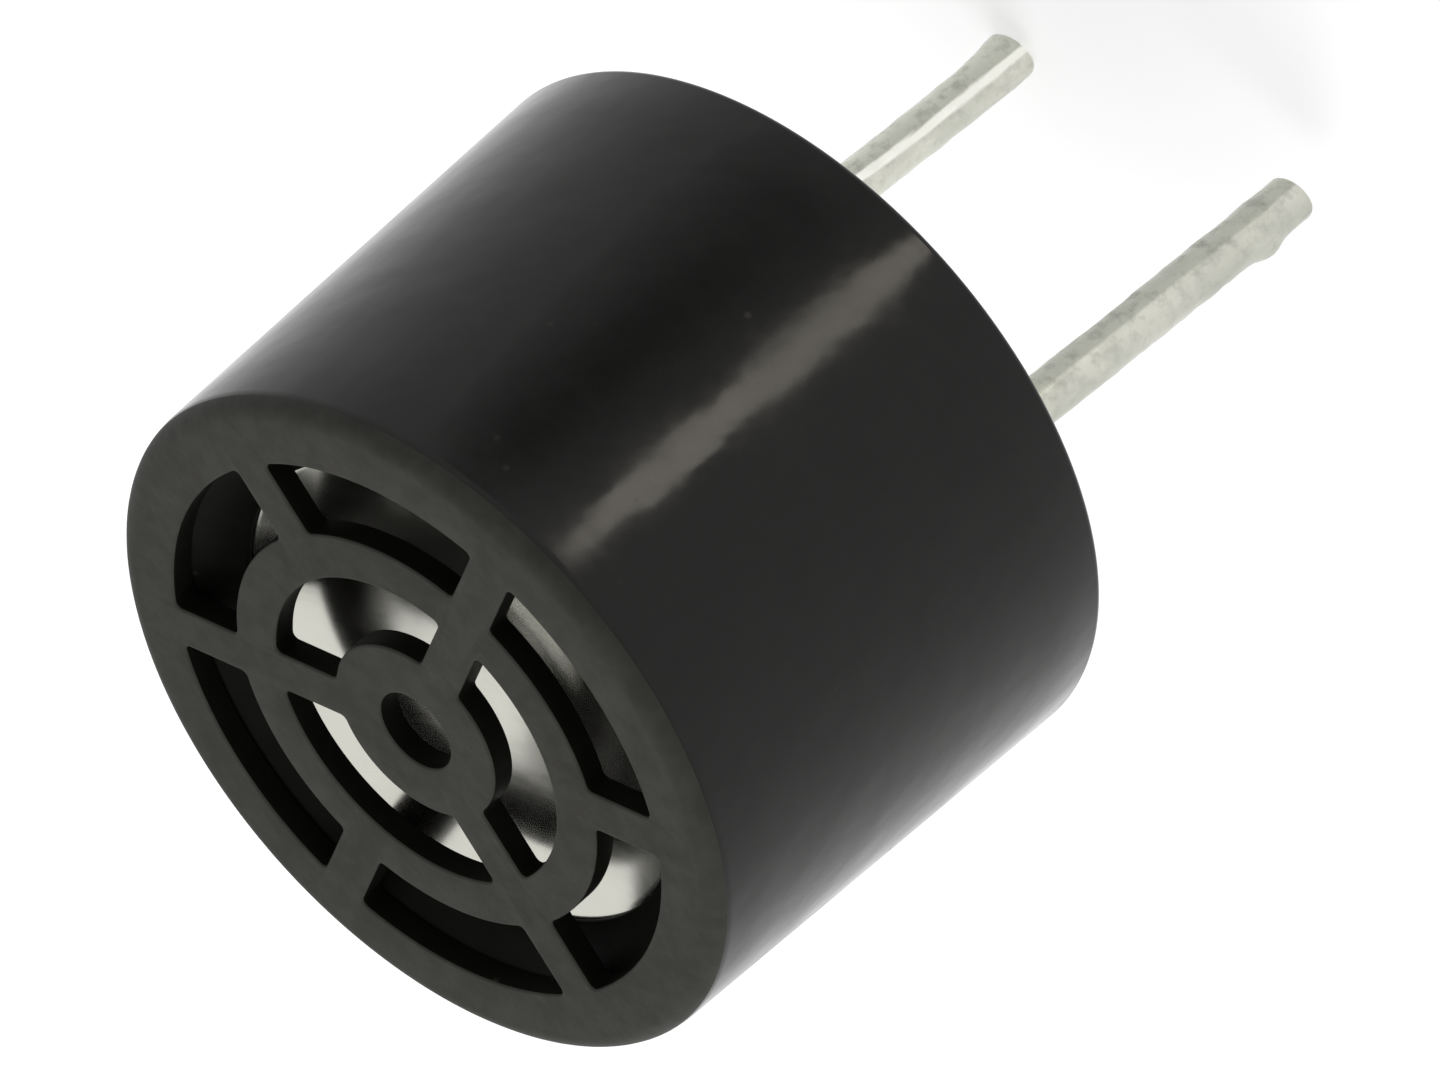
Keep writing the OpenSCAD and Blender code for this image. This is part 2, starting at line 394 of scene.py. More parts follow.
def add(tree, kind, **settings):
    """A node. Keys that name sockets, with _ for a space, set them or link to them."""
    node = tree.nodes.new("ShaderNode" + kind)
    for key, value in settings.items():
        if key[0].islower():
            setattr(node, key, value)
        else:
            feed(tree, node.inputs[key.replace("_", " ")], value)
    return node


def maths(tree, operation, *values, clamp=False):
    """The output of a Math node over values or sockets."""
    node = add(tree, "Math", operation=operation, use_clamp=clamp)
    for socket, value in zip(node.inputs, values):
        feed(tree, socket, value)
    return node.outputs[0]


def times(tree, first, second):
    """Two values or sockets multiplied."""
    return maths(tree, "MULTIPLY", first, second)


def plus(tree, first, second):
    """Two values or sockets added up."""
    return maths(tree, "ADD", first, second)


def length_of(tree, vector):
    """The length of a vector."""
    return add(tree, "VectorMath", operation="LENGTH", Vector=vector).outputs["Value"]


def blend(tree, factor, first, second):
    """The colour between two colours or sockets, by a mask."""
    node = add(tree, "Mix", data_type="RGBA")
    ends = {end.identifier: end for end in (*node.inputs, *node.outputs)}
    tree.links.new(factor, ends["Factor_Float"])
    for key, value in (("A_Color", first), ("B_Color", second)):
        feed(tree, ends[key], value if isinstance(value, bpy.types.NodeSocket) else (*value, 1))
    return ends["Result_Color"]


def noise(tree, at, scale, detail, roughness=0.5, distortion=0.0):
    """The value of a Noise Texture node."""
    node = add(tree, "TexNoise", Vector=at, Scale=scale, Detail=detail, Roughness=roughness,
               Distortion=distortion)
    return node.outputs[0]


def cells(tree, at, scale):
    """The distance to the nearest point of a Voronoi Texture node."""
    return add(tree, "TexVoronoi", Vector=at, Scale=scale).outputs["Distance"]


def spread(tree, value, low, high, to_low=0.0, to_high=1.0):
    """The output of a Map Range node, clamped."""
    node = add(tree, "MapRange", clamp=True, Value=value, From_Min=low, From_Max=high,
               To_Min=to_low, To_Max=to_high)
    return node.outputs[0]


def group(name, *outputs):
    """An empty shader node group. Returns it with its Place, its Scale and its output sockets."""
    tree = bpy.data.node_groups.new(name, "ShaderNodeTree")
    tree.interface.new_socket("Place", in_out="INPUT", socket_type="NodeSocketVector")
    tree.interface.new_socket("Scale", in_out="INPUT", socket_type="NodeSocketFloat")
    for label in outputs:
        tree.interface.new_socket(label, in_out="OUTPUT", socket_type="NodeSocketFloat")
    given = tree.nodes.new("NodeGroupInput").outputs
    return tree, given["Place"], given["Scale"], tree.nodes.new("NodeGroupOutput").inputs


def grain_group():
    """Fine pitted grain, as a spark-eroded mould leaves it."""
    tree, at, scale, out = group("Mould Grain", "Height", "Mask")
    fine = noise(tree, at, scale, 3.0, 0.6)
    coarse = noise(tree, at, times(tree, scale, 0.32), 2.0)
    pits = cells(tree, at, times(tree, scale, 0.7))
    height = plus(tree, fine, times(tree, coarse, 0.8))
    tree.links.new(plus(tree, height, times(tree, pits, 0.4)), out["Height"])
    tree.links.new(spread(tree, coarse, 0.35, 0.65), out["Mask"])
    return tree


def handling_group():
    """Smudges, faint scratches and specks of dust from handling."""
    tree, at, scale, out = group("Handling Marks", "Smudge", "Scratch", "Dust")
    tree.links.new(spread(tree, noise(tree, at, scale, 5.0, 0.65, 0.6), 0.38, 0.68), out["Smudge"])
    lines = []
    for tilt, stretch in ((0.5, 30.0), (-0.9, 22.0)):
        turn = add(tree, "Mapping", Vector=at, Rotation=(tilt, 0.4, tilt * 2), Scale=(1, stretch, 1))
        line = noise(tree, turn.outputs[0], times(tree, scale, 1.2), 2.0)
        lines.append(spread(tree, line, 0.69, 0.74))
    tree.links.new(maths(tree, "MAXIMUM", *lines), out["Scratch"])
    near = spread(tree, cells(tree, at, times(tree, scale, 3.0)), 0.03, 0.1, 1.0, 0.0)
    chosen = spread(tree, noise(tree, at, times(tree, scale, 1.7), 2.0), 0.58, 0.62)
    tree.links.new(times(tree, near, chosen), out["Dust"])
    return tree


def drawn_group():
    """Fine parallel lines, as rolling, drawing or winding leaves them along one axis."""
    tree, at, scale, out = group("Drawn Lines", "Height", "Mask")
    squeeze = add(tree, "Mapping", Vector=at, Scale=(0.04, 1, 1))
    lines = noise(tree, squeeze.outputs[0], scale, 3.0, 0.7)
    tree.links.new(lines, out["Height"])
    tree.links.new(spread(tree, lines, 0.35, 0.65), out["Mask"])
    return tree


def lumps_group():
    """Uneven blotches and lumps, as hot tinning and solder leave them."""
    tree, at, scale, out = group("Tinning", "Height", "Patch", "Fleck")
    wide = noise(tree, at, scale, 3.0, 0.5, 0.8)
    fine = noise(tree, at, times(tree, scale, 4.0), 3.0, 0.6)
    tree.links.new(plus(tree, wide, times(tree, fine, 0.25)), out["Height"])
    tree.links.new(spread(tree, wide, 0.42, 0.66), out["Patch"])
    tree.links.new(spread(tree, fine, 0.48, 0.82), out["Fleck"])
    return tree


MAKERS = {"Mould Grain": grain_group, "Handling Marks": handling_group,
          "Drawn Lines": drawn_group, "Tinning": lumps_group}


def effect(tree, name, place_socket, scale):
    """Puts one of the shared groups into a material, made on its first use."""
    node = tree.nodes.new("ShaderNodeGroup")
    node.node_tree = bpy.data.node_groups.get(name) or MAKERS[name]()
    tree.links.new(place_socket, node.inputs["Place"])
    node.inputs["Scale"].default_value = scale
    return node.outputs


def material(name):
    """A new node material. Returns it with its tree, its shader and its Object coordinates."""
    made = bpy.data.materials.new(name)
    made.use_nodes = True
    tree = made.node_tree
    shader = tree.nodes["Principled BSDF"]
    return made, tree, shader, add(tree, "TexCoord").outputs["Object"]


def dress(tree, shader, tint, rough, height=None, strength=1.0, distance=BUMP_DEPTH):
    """Feeds a colour, a roughness and a bump's height into a shader."""
    tree.links.new(tint, shader.inputs["Base Color"])
    tree.links.new(rough, shader.inputs["Roughness"])
    if height is not None:
        node = add(tree, "Bump", Strength=strength, Distance=distance, Height=height)
        tree.links.new(node.outputs[0], shader.inputs["Normal"])


def scaled(value, by):
    """A colour made lighter or darker."""
    return tuple(min(1.0, c * by) for c in value)


def plastic(name, base, rough, grain_scale, grain, level=0.5, wave=0.0, wear=0.1):
    """Moulded black or natural plastic with mould grain, handling marks and a slight orange peel."""
    made, tree, shader, at = material(name)
    grains = effect(tree, "Mould Grain", at, grain_scale)
    marks = effect(tree, "Handling Marks", at, 420.0)
    mixed = blend(tree, grains["Mask"], scaled(base, 0.86), scaled(base, 1.12))
    dusty = blend(tree, times(tree, marks["Dust"], wear), mixed, (0.20, 0.19, 0.17))
    worn = blend(tree, times(tree, marks["Scratch"], wear), dusty, scaled(base, 2.2))
    uneven = maths(tree, "MULTIPLY_ADD", marks["Smudge"], 0.10, rough - 0.05)
    uneven = plus(tree, uneven, times(tree, marks["Dust"], 0.2))
    shader.inputs["Specular IOR Level"].default_value = level
    swell = noise(tree, at, 1100.0, 2.0, 0.4)
    height = plus(tree, times(tree, grains["Height"], grain), times(tree, swell, wave))
    dress(tree, shader, worn, uneven, height)
    return made


def black_darkened_for_shade(base):
    """Black plastic of the case's inner walls and of both rings, made on its first use. It is darker and
    less glossy than the case's outside: painted shade over real black plastic.
    """
    name = "Black plastic darkened for shade"
    return bpy.data.materials.get(name) or plastic(
        name, base, rough=0.5, grain_scale=7000.0, grain=0.3, level=0.05)


def metal(name, base, rough, lines, lumps, lumps_scale, tarnish=None):
    """Metal with drawn lines, lumps and darker patches."""
    made, tree, shader, at = material(name)
    shader.inputs["Metallic"].default_value = 1.0
    drawn = effect(tree, "Drawn Lines", at, 5200.0)
    tinned = effect(tree, "Tinning", at, lumps_scale)
    toned_down = tarnish or scaled(base, 0.7)
    mixed = blend(tree, times(tree, tinned["Patch"], 0.55 if tarnish else 0.25), base, toned_down)
    mixed = blend(tree, times(tree, tinned["Fleck"], 0.4), mixed, scaled(toned_down, 0.8))
    uneven = maths(tree, "MULTIPLY_ADD", tinned["Patch"], 0.14, rough)
    uneven = plus(tree, uneven, times(tree, drawn["Mask"], 0.06))
    height = plus(tree, times(tree, drawn["Height"], lines), times(tree, tinned["Height"], lumps))
    dress(tree, shader, mixed, uneven, height)
    return made


# Pieces


class BUZZER_OT_case(bpy.types.Operator):
    """Turn the case and cut its grille"""

    bl_idname = "buzzer.case"
    bl_label = "Case and grille"

    def execute(self, context):
        s = context.scene.buzzer_case
        lean = math.tan(s.draft)
        tilt = math.degrees(s.draft)

        def corner_x(radius, z):
            return s.foot_radius - radius / math.cos(s.draft) - z * lean

        top = s.height
        below = top - s.grille
        foot = s.foot_round
        profile = [(s.bore_radius + s.chamfer, 0.0)]
        profile += arc(corner_x(foot, foot), foot, foot, -90, tilt, 5)
        high = top - s.top_round
        wall = s.foot_radius - lean * foot
        steps = 8
        for i in range(1, steps):
            z = foot + (high - foot) * i / steps
            profile.append((wall - lean * (z - foot), z))
        profile += arc(corner_x(s.top_round, high), high, s.top_round, tilt, 90, 10)
        profile += arc(s.hub_hole + s.lip, top - s.lip, s.lip, 90, 180, 4)
        profile += [(s.hub_hole, below), (s.bore_radius, below), (s.bore_radius, s.chamfer)]
        case = turned("case", profile)
        leave()
        slots = self.slot_ring("inner_slots", s.hub, s.hub + s.inner_slot, s.inner_spokes, s)
        start = s.hub + s.inner_slot + s.ring
        others = self.slot_ring("outer_slots", start, start + s.outer_slot, s.outer_spokes, s)
        cutter = join(slots, [others])
        modify(case, "BOOLEAN", operation="DIFFERENCE", solver="MANIFOLD", object=cutter)
        bpy.data.objects.remove(cutter)
        edit(case)
        tidy_shell()
        leave()
        shade(case, 40)
        modify(case, "WEIGHTED_NORMAL", keep_sharp=True, weight=100)
        f = context.scene.buzzer_finishes
        face = plastic("Textured black plastic", f.face, rough=0.62, grain_scale=9000.0, grain=0.5,
                       level=0.15, wear=0.04)
        side = plastic("Satin black plastic", f.side, rough=0.16, grain_scale=6000.0, grain=0.02,
                       level=0.20, wave=1.6, wear=0.04)
        place(case, "housing", "case_plastic", side, face, black_darkened_for_shade(f.ring))
        on_side, on_face, on_inside = range(3)
        face_from = high + 0.3 * s.top_round
        for polygon in case.data.polygons:
            middle = polygon.center
            inside = math.hypot(middle.x, middle.y) < s.bore_radius + s.chamfer / 2
            # Inner walls, slot walls and the grille's underside take the black darkened for shade: painted
            # shade.
            if inside and polygon.normal.z < 0.5:
                polygon.material_index = on_inside
            elif middle.z > face_from:
                polygon.material_index = on_face
            else:
                polygon.material_index = on_side
        return {"FINISHED"}

    def slot_ring(self, name, inner, outer, spokes, s):
        """Cutters for one ring of slots, each flared at the face so that it leaves a rounded lip."""
        spare = 0.2 * MM
        points = self.slot_outline(inner - s.lip, outer + s.lip, s.spoke / 2 - s.lip, s.corner + s.lip,
                                   TAU / spokes)
        piece = chain(name, [(*point, s.height + spare) for point in points + points[:1]])
        bpy.ops.mesh.remove_doubles(threshold=MERGE)
        bpy.ops.mesh.edge_face_add()
        piece.update_from_editmode()
        if piece.data.polygons[0].normal.z < 0:
            bpy.ops.mesh.flip_normals()
        bpy.ops.transform.rotate(value=-s.turn, orient_axis="Z", center_override=(0, 0, 0))
        bpy.ops.mesh.select_mode(type="FACE")
        bpy.ops.mesh.select_all(action="SELECT")
        bpy.ops.mesh.extrude_region_move(TRANSFORM_OT_translate={"value": (0, 0, -spare)})
        steps = 4
        for i in range(steps):
            a, b = (math.pi / 2 * (i + k) / steps for k in (0, 1))
            bpy.ops.mesh.inset(thickness=s.lip * (math.sin(b) - math.sin(a)),
                               depth=s.lip * (math.cos(b) - math.cos(a)))
        bpy.ops.mesh.extrude_region_move(TRANSFORM_OT_translate={"value": (0, 0, -s.grille - spare)})
        tidy_shell()
        bpy.ops.mesh.select_mode(type="VERT")
        for _ in range(spokes - 1):
            bpy.ops.mesh.select_linked()
            bpy.ops.mesh.duplicate()
            bpy.ops.transform.rotate(value=TAU / spokes, orient_axis="Z", center_override=(0, 0, 0))
        leave()
        return piece

    def slot_outline(self, inner, outer, half, corner, sweep):
        """Outline of a slot between a spoke along X and the next one, with rounded corners."""
        low = math.sqrt((inner + corner) ** 2 - (half + corner) ** 2)
        high = math.sqrt((outer - corner) ** 2 - (half + corner) ** 2)
        first = math.atan2(half + corner, low)
        last = math.atan2(half + corner, high)
        side = arc(low, half + corner, corner, 180 + math.degrees(first), 270, 5)
        side += arc(high, half + corner, corner, -90, math.degrees(last), 5)
        x, y = math.cos(sweep), math.sin(sweep)
        far = [(x * px + y * py, y * px - x * py) for px, py in reversed(side)]
        out, back = (round((sweep - 2 * a) / TAU * AROUND) for a in (last, first))
        rim = arc(0, 0, outer, math.degrees(last), math.degrees(sweep - last), out)[1:-1]
        root = arc(0, 0, inner, math.degrees(sweep - first), math.degrees(first), back)[1:-1]
        return side + rim + far + root


class BUZZER_OT_retainer(bpy.types.Operator):
    """Turn the ring that holds the diaphragm down"""

    bl_idname = "buzzer.retainer"
    bl_label = "Retaining ring"

    def execute(self, context):
        s = context.scene.buzzer_retainer
        outer, low, top = ring_high.y, ring_low.z, ring_high.z
        profile = [(outer, low)]
        profile += reversed(arc(s.low_radius + s.edge, low + s.edge, s.edge, 180, 270, 4))
        profile += [(s.low_radius, low + s.foot - s.edge / 2)]
        profile += [(s.low_radius + s.edge / 2, low + s.foot + s.edge / 2)]
        profile += [(s.top_radius, top), (outer, top)]
        ring = turned("retainer", profile, AROUND // 2)
        leave()
        shade(ring)
        place(ring, "retaining_ring", "ring_plastic", black_darkened_for_shade(context.scene.buzzer_finishes.ring))
        return {"FINISHED"}


class BUZZER_OT_diaphragm(bpy.types.Operator):
    """Turn the dished metal foil"""

    bl_idname = "buzzer.diaphragm"
    bl_label = "Diaphragm"

    def execute(self, context):
        s = context.scene.buzzer_diaphragm
        rim, radius = foil_high.z, foil_high.x
        depth = foil_high.z - foil_low.z - s.thickness
        steps = 60
        rise, heights = 0.0, [0.0]
        for i in range(steps):
            r = s.seat * (i + 0.5) / steps
            t = min(1.0, r / s.flat)
            slope = t * (3 - 2 * t) * (s.slope + s.wave * math.cos(TAU * (r - s.crest) / s.pitch))
            rise += slope * s.seat / steps
            heights.append(rise)
        upper = [(s.seat * i / steps, rim - depth + depth * h / rise) for i, h in enumerate(heights)]
        upper.append((radius, rim))
        profile = upper + [(r, z - s.thickness) for r, z in reversed(upper)]
        foil = turned("diaphragm_foil", profile, AROUND // 2)
        leave()
        shade(foil)
        made, tree, shader, at = material("Bright rolled foil")
        f = context.scene.buzzer_finishes
        shader.inputs["Metallic"].default_value = 1.0
        drawn = effect(tree, "Drawn Lines", at, 9000.0)
        marks = effect(tree, "Handling Marks", at, 600.0)
        mixed = blend(tree, times(tree, marks["Smudge"], 0.3), f.foil, scaled(f.foil, 0.86))
        uneven = maths(tree, "MULTIPLY_ADD", drawn["Mask"], 0.02, 0.13)
        dress(tree, shader, mixed, plus(tree, uneven, times(tree, marks["Smudge"], 0.05)))
        place(foil, "diaphragm", "diaphragm_metal", made)
        return {"FINISHED"}


def tilt_frame(axis):
    """A frame whose X lies along a level axis."""
    x = Vector(axis).normalized()
    return Matrix((x, Vector((0, 0, 1)).cross(x), (0, 0, 1)))


def bar(name, sections, sides=32, tilt=0.0, tilted=0, axis=(0, 1, 0)):
    """A bar through circular sections, each (centre, radius). Its last sections tilt in steps."""
    select_none()
    centre, radius = sections[0]
    bpy.ops.mesh.primitive_circle_add(vertices=sides, radius=radius, fill_type="NGON", location=(0, 0, 0))
    piece = bpy.context.object
    piece.name = piece.data.name = name
    bpy.ops.object.mode_set(mode="EDIT")
    bpy.ops.mesh.select_mode(type="FACE")
    bpy.ops.mesh.select_all(action="SELECT")
    bpy.ops.transform.translate(value=centre)
    upright = len(sections) - tilted
    for i, ((before, old), (after, new)) in enumerate(zip(sections, sections[1:])):
        step = Vector(after) - Vector(before)
        bpy.ops.mesh.extrude_region_move(TRANSFORM_OT_translate={"value": step})
        if not math.isclose(new, old, rel_tol=1e-6):
            bpy.ops.transform.resize(value=(new / old,) * 3, center_override=after)
        if tilted and i + 1 >= upright:
            bpy.ops.transform.rotate(value=tilt / tilted, orient_axis="X", orient_matrix=tilt_frame(axis),
                                     orient_matrix_type="GLOBAL", center_override=after)
    tidy_shell()
    leave()
    return piece


class BUZZER_OT_leads(bpy.types.Operator):
    """Draw the two tinned leads, with their lean, their uneven tinning and their cut ends"""

    bl_idname = "buzzer.leads"
    bl_label = "Leads"

    def execute(self, context):
        s = context.scene.buzzer_leads
        f = context.scene.buzzer_finishes
        # Lit and shaded copies of one tin: the long lead's is painted lighter and carries the painted
        # highlight, the short lead's is painted darker at 0.8 of the tin.
        painted_lighter = self.tin("Tinned lead painted lighter", f.tin, f.tarnish, 1.0, long_x, s.long_lean, s)
        toned_down = self.tin("Tinned lead painted darker", scaled(f.tin, 0.8), scaled(f.tarnish, 0.85), 0.0, short_x,
                        s.short_lean, s)
        for name, node, tin, x, lean, tip, burr_at, side, spread_over, radius in (
            ("lead_long", "pin_long", painted_lighter, long_x, s.long_lean, long_low.z, 0.1, -1.0, 0.55, s.radius),
            ("lead_short", "pin_short", toned_down, short_x, s.short_lean, short_low.z, 1.0, 1.0, 0.25,
             s.radius * 1.04),
        ):
            low = tip + (radius - s.edge) * math.sin(s.crop) + s.lumps
            lead = self.lead(name, x, lean, low, burr_at * MM, side, spread_over * MM, radius, s)
            place(lead, node, "tinned_pin", tin)
        return {"FINISHED"}

    def tin(self, name, base, toned_down, shine, x, lean, s):
        """Hot-tinned wire with lumps, flecks and random darker patches, plus painted light: a painted shade
        run down one side and a painted highlight stripe beside it.
        """
        made, tree, shader, at = material(name)
        shader.inputs["Metallic"].default_value = 1.0
        runs = add(tree, "Mapping", Vector=at, Scale=(1, 1, 0.16), Location=(0.0007, 0.0003, 0))
        long_runs = effect(tree, "Tinning", runs.outputs[0], 2300.0)
        lumps = effect(tree, "Tinning", at, 1050.0)
        wander = spread(tree, long_runs["Height"], 0.2, 1.0, -0.08 * MM, 0.08 * MM)
        across = plus(tree, self.across(tree, at, x, lean, s), wander)
        # Painted shade: this mask darkens a run down the side away from the lean, standing for the shade
        # reflected on that side.
        painted_shade_side = times(tree, spread(tree, across, 0.05 * MM, 0.10 * MM),
                    spread(tree, across, 0.10 * MM, 0.38 * MM, 1.0, 0.4))
        # Painted shade: the far edge on the lean side is darkened too.
        painted_edge_shade = spread(tree, across, -0.30 * MM, -0.05 * MM, 0.3, 0.0)
        off = maths(tree, "ABSOLUTE", across)
        # Painted highlight: a near-white stripe along the lead's middle, as strong as shine, broken up by
        # the lumps.
        painted_highlight = times(tree, spread(tree, off, 0.045 * MM, 0.085 * MM, shine, 0.0),
                      spread(tree, lumps["Height"], 0.45, 0.75, 0.75, 1.0))
        mixed = blend(tree, times(tree, long_runs["Patch"], 0.35), base, toned_down)
        mixed = blend(tree, maths(tree, "MAXIMUM", painted_shade_side, painted_edge_shade), mixed, toned_down)
        mixed = blend(tree, times(tree, lumps["Patch"], 0.4), mixed, scaled(toned_down, 0.9))
        # Random flecks of the tinning, drawn stronger on the shaded side: real flecks with painted shade.
        flecks_and_painted_shade = times(tree, lumps["Fleck"], spread(tree, across, -0.2 * MM, 0.15 * MM, 0.4, 1.0))
        mixed = blend(tree, flecks_and_painted_shade, mixed, scaled(toned_down, 0.6))
        mixed = blend(tree, painted_highlight, mixed, (0.98, 0.97, 0.90))
        rough = spread(tree, long_runs["Patch"], 0.0, 1.0, 0.2, 0.34)
        height = plus(tree, times(tree, long_runs["Height"], 0.8), lumps["Height"])
        dress(tree, shader, mixed, rough, height, distance=1.2 * BUMP_DEPTH)
        return made

    def across(self, tree, at, x, lean, s):
        """How far a point lies from its lead's middle, away from the side it leans to."""
        # Direction of the side that carries the painted shade run.
        painted_shade_side = (-math.cos(s.lean_towards), -math.sin(s.lean_towards))
        out_at_resin, out_more_at_tip = 0.24 * lean, 0.8 * lean
        along = add(tree, "VectorMath", operation="DOT_PRODUCT", Vector=at)
        along.inputs[1].default_value = (*painted_shade_side, out_more_at_tip / long_low.z)
        return plus(tree, along.outputs["Value"], out_at_resin - x * painted_shade_side[0])

    def lead(self, name, x, lean, tip, burr_at, side, spread_over, radius, s):
        """One lead from inside the resin to its cropped end. It swells to one side at the burr."""
        towards = Vector((math.cos(s.lean_towards), math.sin(s.lean_towards), 0))
        edge = s.edge
        steps, bends, tilted = 84, 6, 16
        heights = [s.root - (s.root - tip - edge) * i / steps for i in range(steps + 1)]
        turns = [math.pi / 2 * k / bends for k in range(1, bends + 1)]
        heights += [tip + edge - edge * math.sin(a) for a in turns]
        rounding = [0.0] * (steps + 1) + [edge * (1 - math.cos(a)) for a in turns]
        sections = []
        for z, less in zip(heights, rounding):
            burr = s.swell / 2 * math.exp(-(((z - tip - burr_at) / spread_over) ** 2))
            out = lean * ((s.root - z) / (s.root - tip)) ** s.bend
            sections.append((Vector((x, 0, z)) + towards * (out + burr * side), radius + burr - less))
        piece = bar(name, sections, tilt=s.crop, tilted=tilted, axis=(0.3, 1, 0))
        cloud = bpy.data.textures.new(name + "_lumps", "CLOUDS")
        cloud.noise_scale, cloud.noise_depth = 0.38 * MM, 3
        modify(piece, "DISPLACE", texture=cloud, strength=2 * s.lumps, texture_coords="LOCAL")
        shade(piece, 50)
        return piece


class BUZZER_OT_resin(bpy.types.Operator):
    """Cast the resin that seals the mouth of the case"""

    bl_idname = "buzzer.resin"
    bl_label = "Sealing resin"

    def execute(self, context):
        s = context.scene.buzzer_bottom
        c = context.scene.buzzer_case
        low, top = resin_low.z, resin_high.z
        edge = c.bore_radius
        profile = [(0.0, top), (edge, top), (edge, low - s.climb)]
        steps = 6
        for i in range(1, steps + 1):
            t = i / steps
            profile.append((edge - s.reach * t, low - s.climb * (1 - t) ** CREEP_POWER))
        profile += [(edge * 0.6, low), (edge * 0.3, low), (0.0, low)]
        resin = turned("resin_fill", profile, AROUND // 2)
        leave()
        collars = []
        radius = context.scene.buzzer_leads.radius
        for x in (long_x, short_x):
            outline = [(radius * 0.9, low + s.climb)]
            for i in range(9):
                t = i / 8
                climb = s.collar_climb * (1 - t) ** CREEP_POWER
                outline.append((radius + (s.collar - radius) * t, low - climb))
            outline.append((s.collar, low + s.climb))
            collar = turned("collar", outline, 48)
            bpy.ops.mesh.select_all(action="SELECT")
            bpy.ops.transform.translate(value=(x, 0, 0))
            leave()
            collars.append(collar)
        join(resin, collars)
        shade(resin, 30)
        made, tree, shader, at = material("Black casting resin")
        base = context.scene.buzzer_finishes.resin
        marks = effect(tree, "Handling Marks", at, 300.0)
        mixed = blend(tree, times(tree, marks["Dust"], 0.6), base, (0.25, 0.24, 0.22))
        rough = spread(tree, marks["Smudge"], 0.0, 1.0, 0.16, 0.34)
        pits = spread(tree, cells(tree, at, 900.0), 0.05, 0.16)
        height = plus(tree, times(tree, noise(tree, at, 380.0, 2.0), 6.0), pits)
        dress(tree, shader, mixed, rough, height, 0.8)
        place(resin, "sealing_resin", "resin", made)
        return {"FINISHED"}


class BUZZER_OT_coil(bpy.types.Operator):
    """Wind the coil turn by turn and bring its two ends down"""

    bl_idname = "buzzer.coil"
    bl_label = "Coil"

    def execute(self, context):
        s = context.scene.buzzer_coil
        outer, high = coil_high.y, coil_high.z
        turns = round((high - s.low) / s.wire)
        pitch = (high - s.low) / turns
        profile = [(s.tube_radius, high), (s.tube_radius, s.low)]
        radius = s.wire / 2
        bulge = arc(0, 0, 1, -75, 75, 5)
        for i in range(turns):
            middle = s.low + (i + 0.5) * pitch
            profile += [(outer - radius + radius * x, middle + z * pitch / 2) for x, z in bulge]
        coil = turned("coil_turns", profile, 96)
        leave()
        ends = []
        for side in (-1, 1):
            sections = [(Vector((side * s.end_x, 0, z)), s.wire / 2) for z in (coil_low.z, s.low + pitch)]
            ends.append(bar("wire_end", sections, 12))
        join(coil, ends)
        shade(coil, 60)
        copper = metal("Enamelled copper", context.scene.buzzer_finishes.copper, rough=0.28, lines=0.2,
                       lumps=0.3, lumps_scale=900.0)
        place(coil, "coil_winding", "copper_wire", copper)
        return {"FINISHED"}


class BUZZER_OT_inner_finishes(bpy.types.Operator):
    """Give the sealed inner CAD nodes their finishes"""

    bl_idname = "buzzer.inner_finishes"
    bl_label = "Inner finishes"

    def execute(self, context):
        f = context.scene.buzzer_finishes
        iron = metal("Plated soft iron", f.iron, rough=0.3, lines=0.6, lumps=0.4, lumps_scale=700.0,
                     tarnish=scaled(f.iron, 0.75))
        solder = metal("Solder joint", f.solder, rough=0.24, lines=0.0, lumps=2.5, lumps_scale=1100.0,
                       tarnish=scaled(f.solder, 0.7))
        natural = plastic("Natural bobbin plastic", f.bobbin, rough=0.42, grain_scale=5000.0, grain=0.3)
        finishes = {
            "armature_disc": iron, "yoke_plate": iron, "pole_core": iron, "solder_joints": solder,
            "coil_bobbin": natural, "support_ring": black_darkened_for_shade(f.ring),
            "ring_magnet": self.ferrite(f.ferrite), "terminal_board": self.laminate(f.board),
        }
        for name, finish in finishes.items():
            node = frame["nodes"][name]
            for slot in node.material_slots:
                slot.material = finish
        return {"FINISHED"}

    def ferrite(self, base):
        """Dark sintered magnet with ground, pitted faces."""
        made, tree, shader, at = material("Ground ferrite")
        grains = effect(tree, "Mould Grain", at, 5200.0)
        lines = effect(tree, "Drawn Lines", at, 2600.0)
        mixed = blend(tree, grains["Mask"], scaled(base, 0.75), scaled(base, 1.3))
        rough = spread(tree, lines["Mask"], 0.0, 1.0, 0.45, 0.6)
        dress(tree, shader, mixed, rough, plus(tree, grains["Height"], lines["Height"]), 0.6)
        return made

    def laminate(self, base):
        """Brown board laminate with a faint paper grain."""
        made, tree, shader, at = material("Board laminate")
        fibres = effect(tree, "Drawn Lines", at, 2200.0)
        marks = effect(tree, "Handling Marks", at, 500.0)
        mixed = blend(tree, fibres["Mask"], scaled(base, 0.8), scaled(base, 1.25))
        mixed = blend(tree, times(tree, marks["Smudge"], 0.4), mixed, scaled(base, 0.7))
        rough = spread(tree, marks["Smudge"], 0.0, 1.0, 0.4, 0.55)
        dress(tree, shader, mixed, rough, fibres["Height"], 0.5)
        return made


# Stage


def background_rays(tree):
    """1 for the rays that see the background: from the camera, off gloss and through glass."""
    path = add(tree, "LightPath").outputs
    seen = plus(tree, path["Is Camera Ray"], path["Is Glossy Ray"])
    return maths(tree, "ADD", seen, path["Is Transmission Ray"], clamp=True)


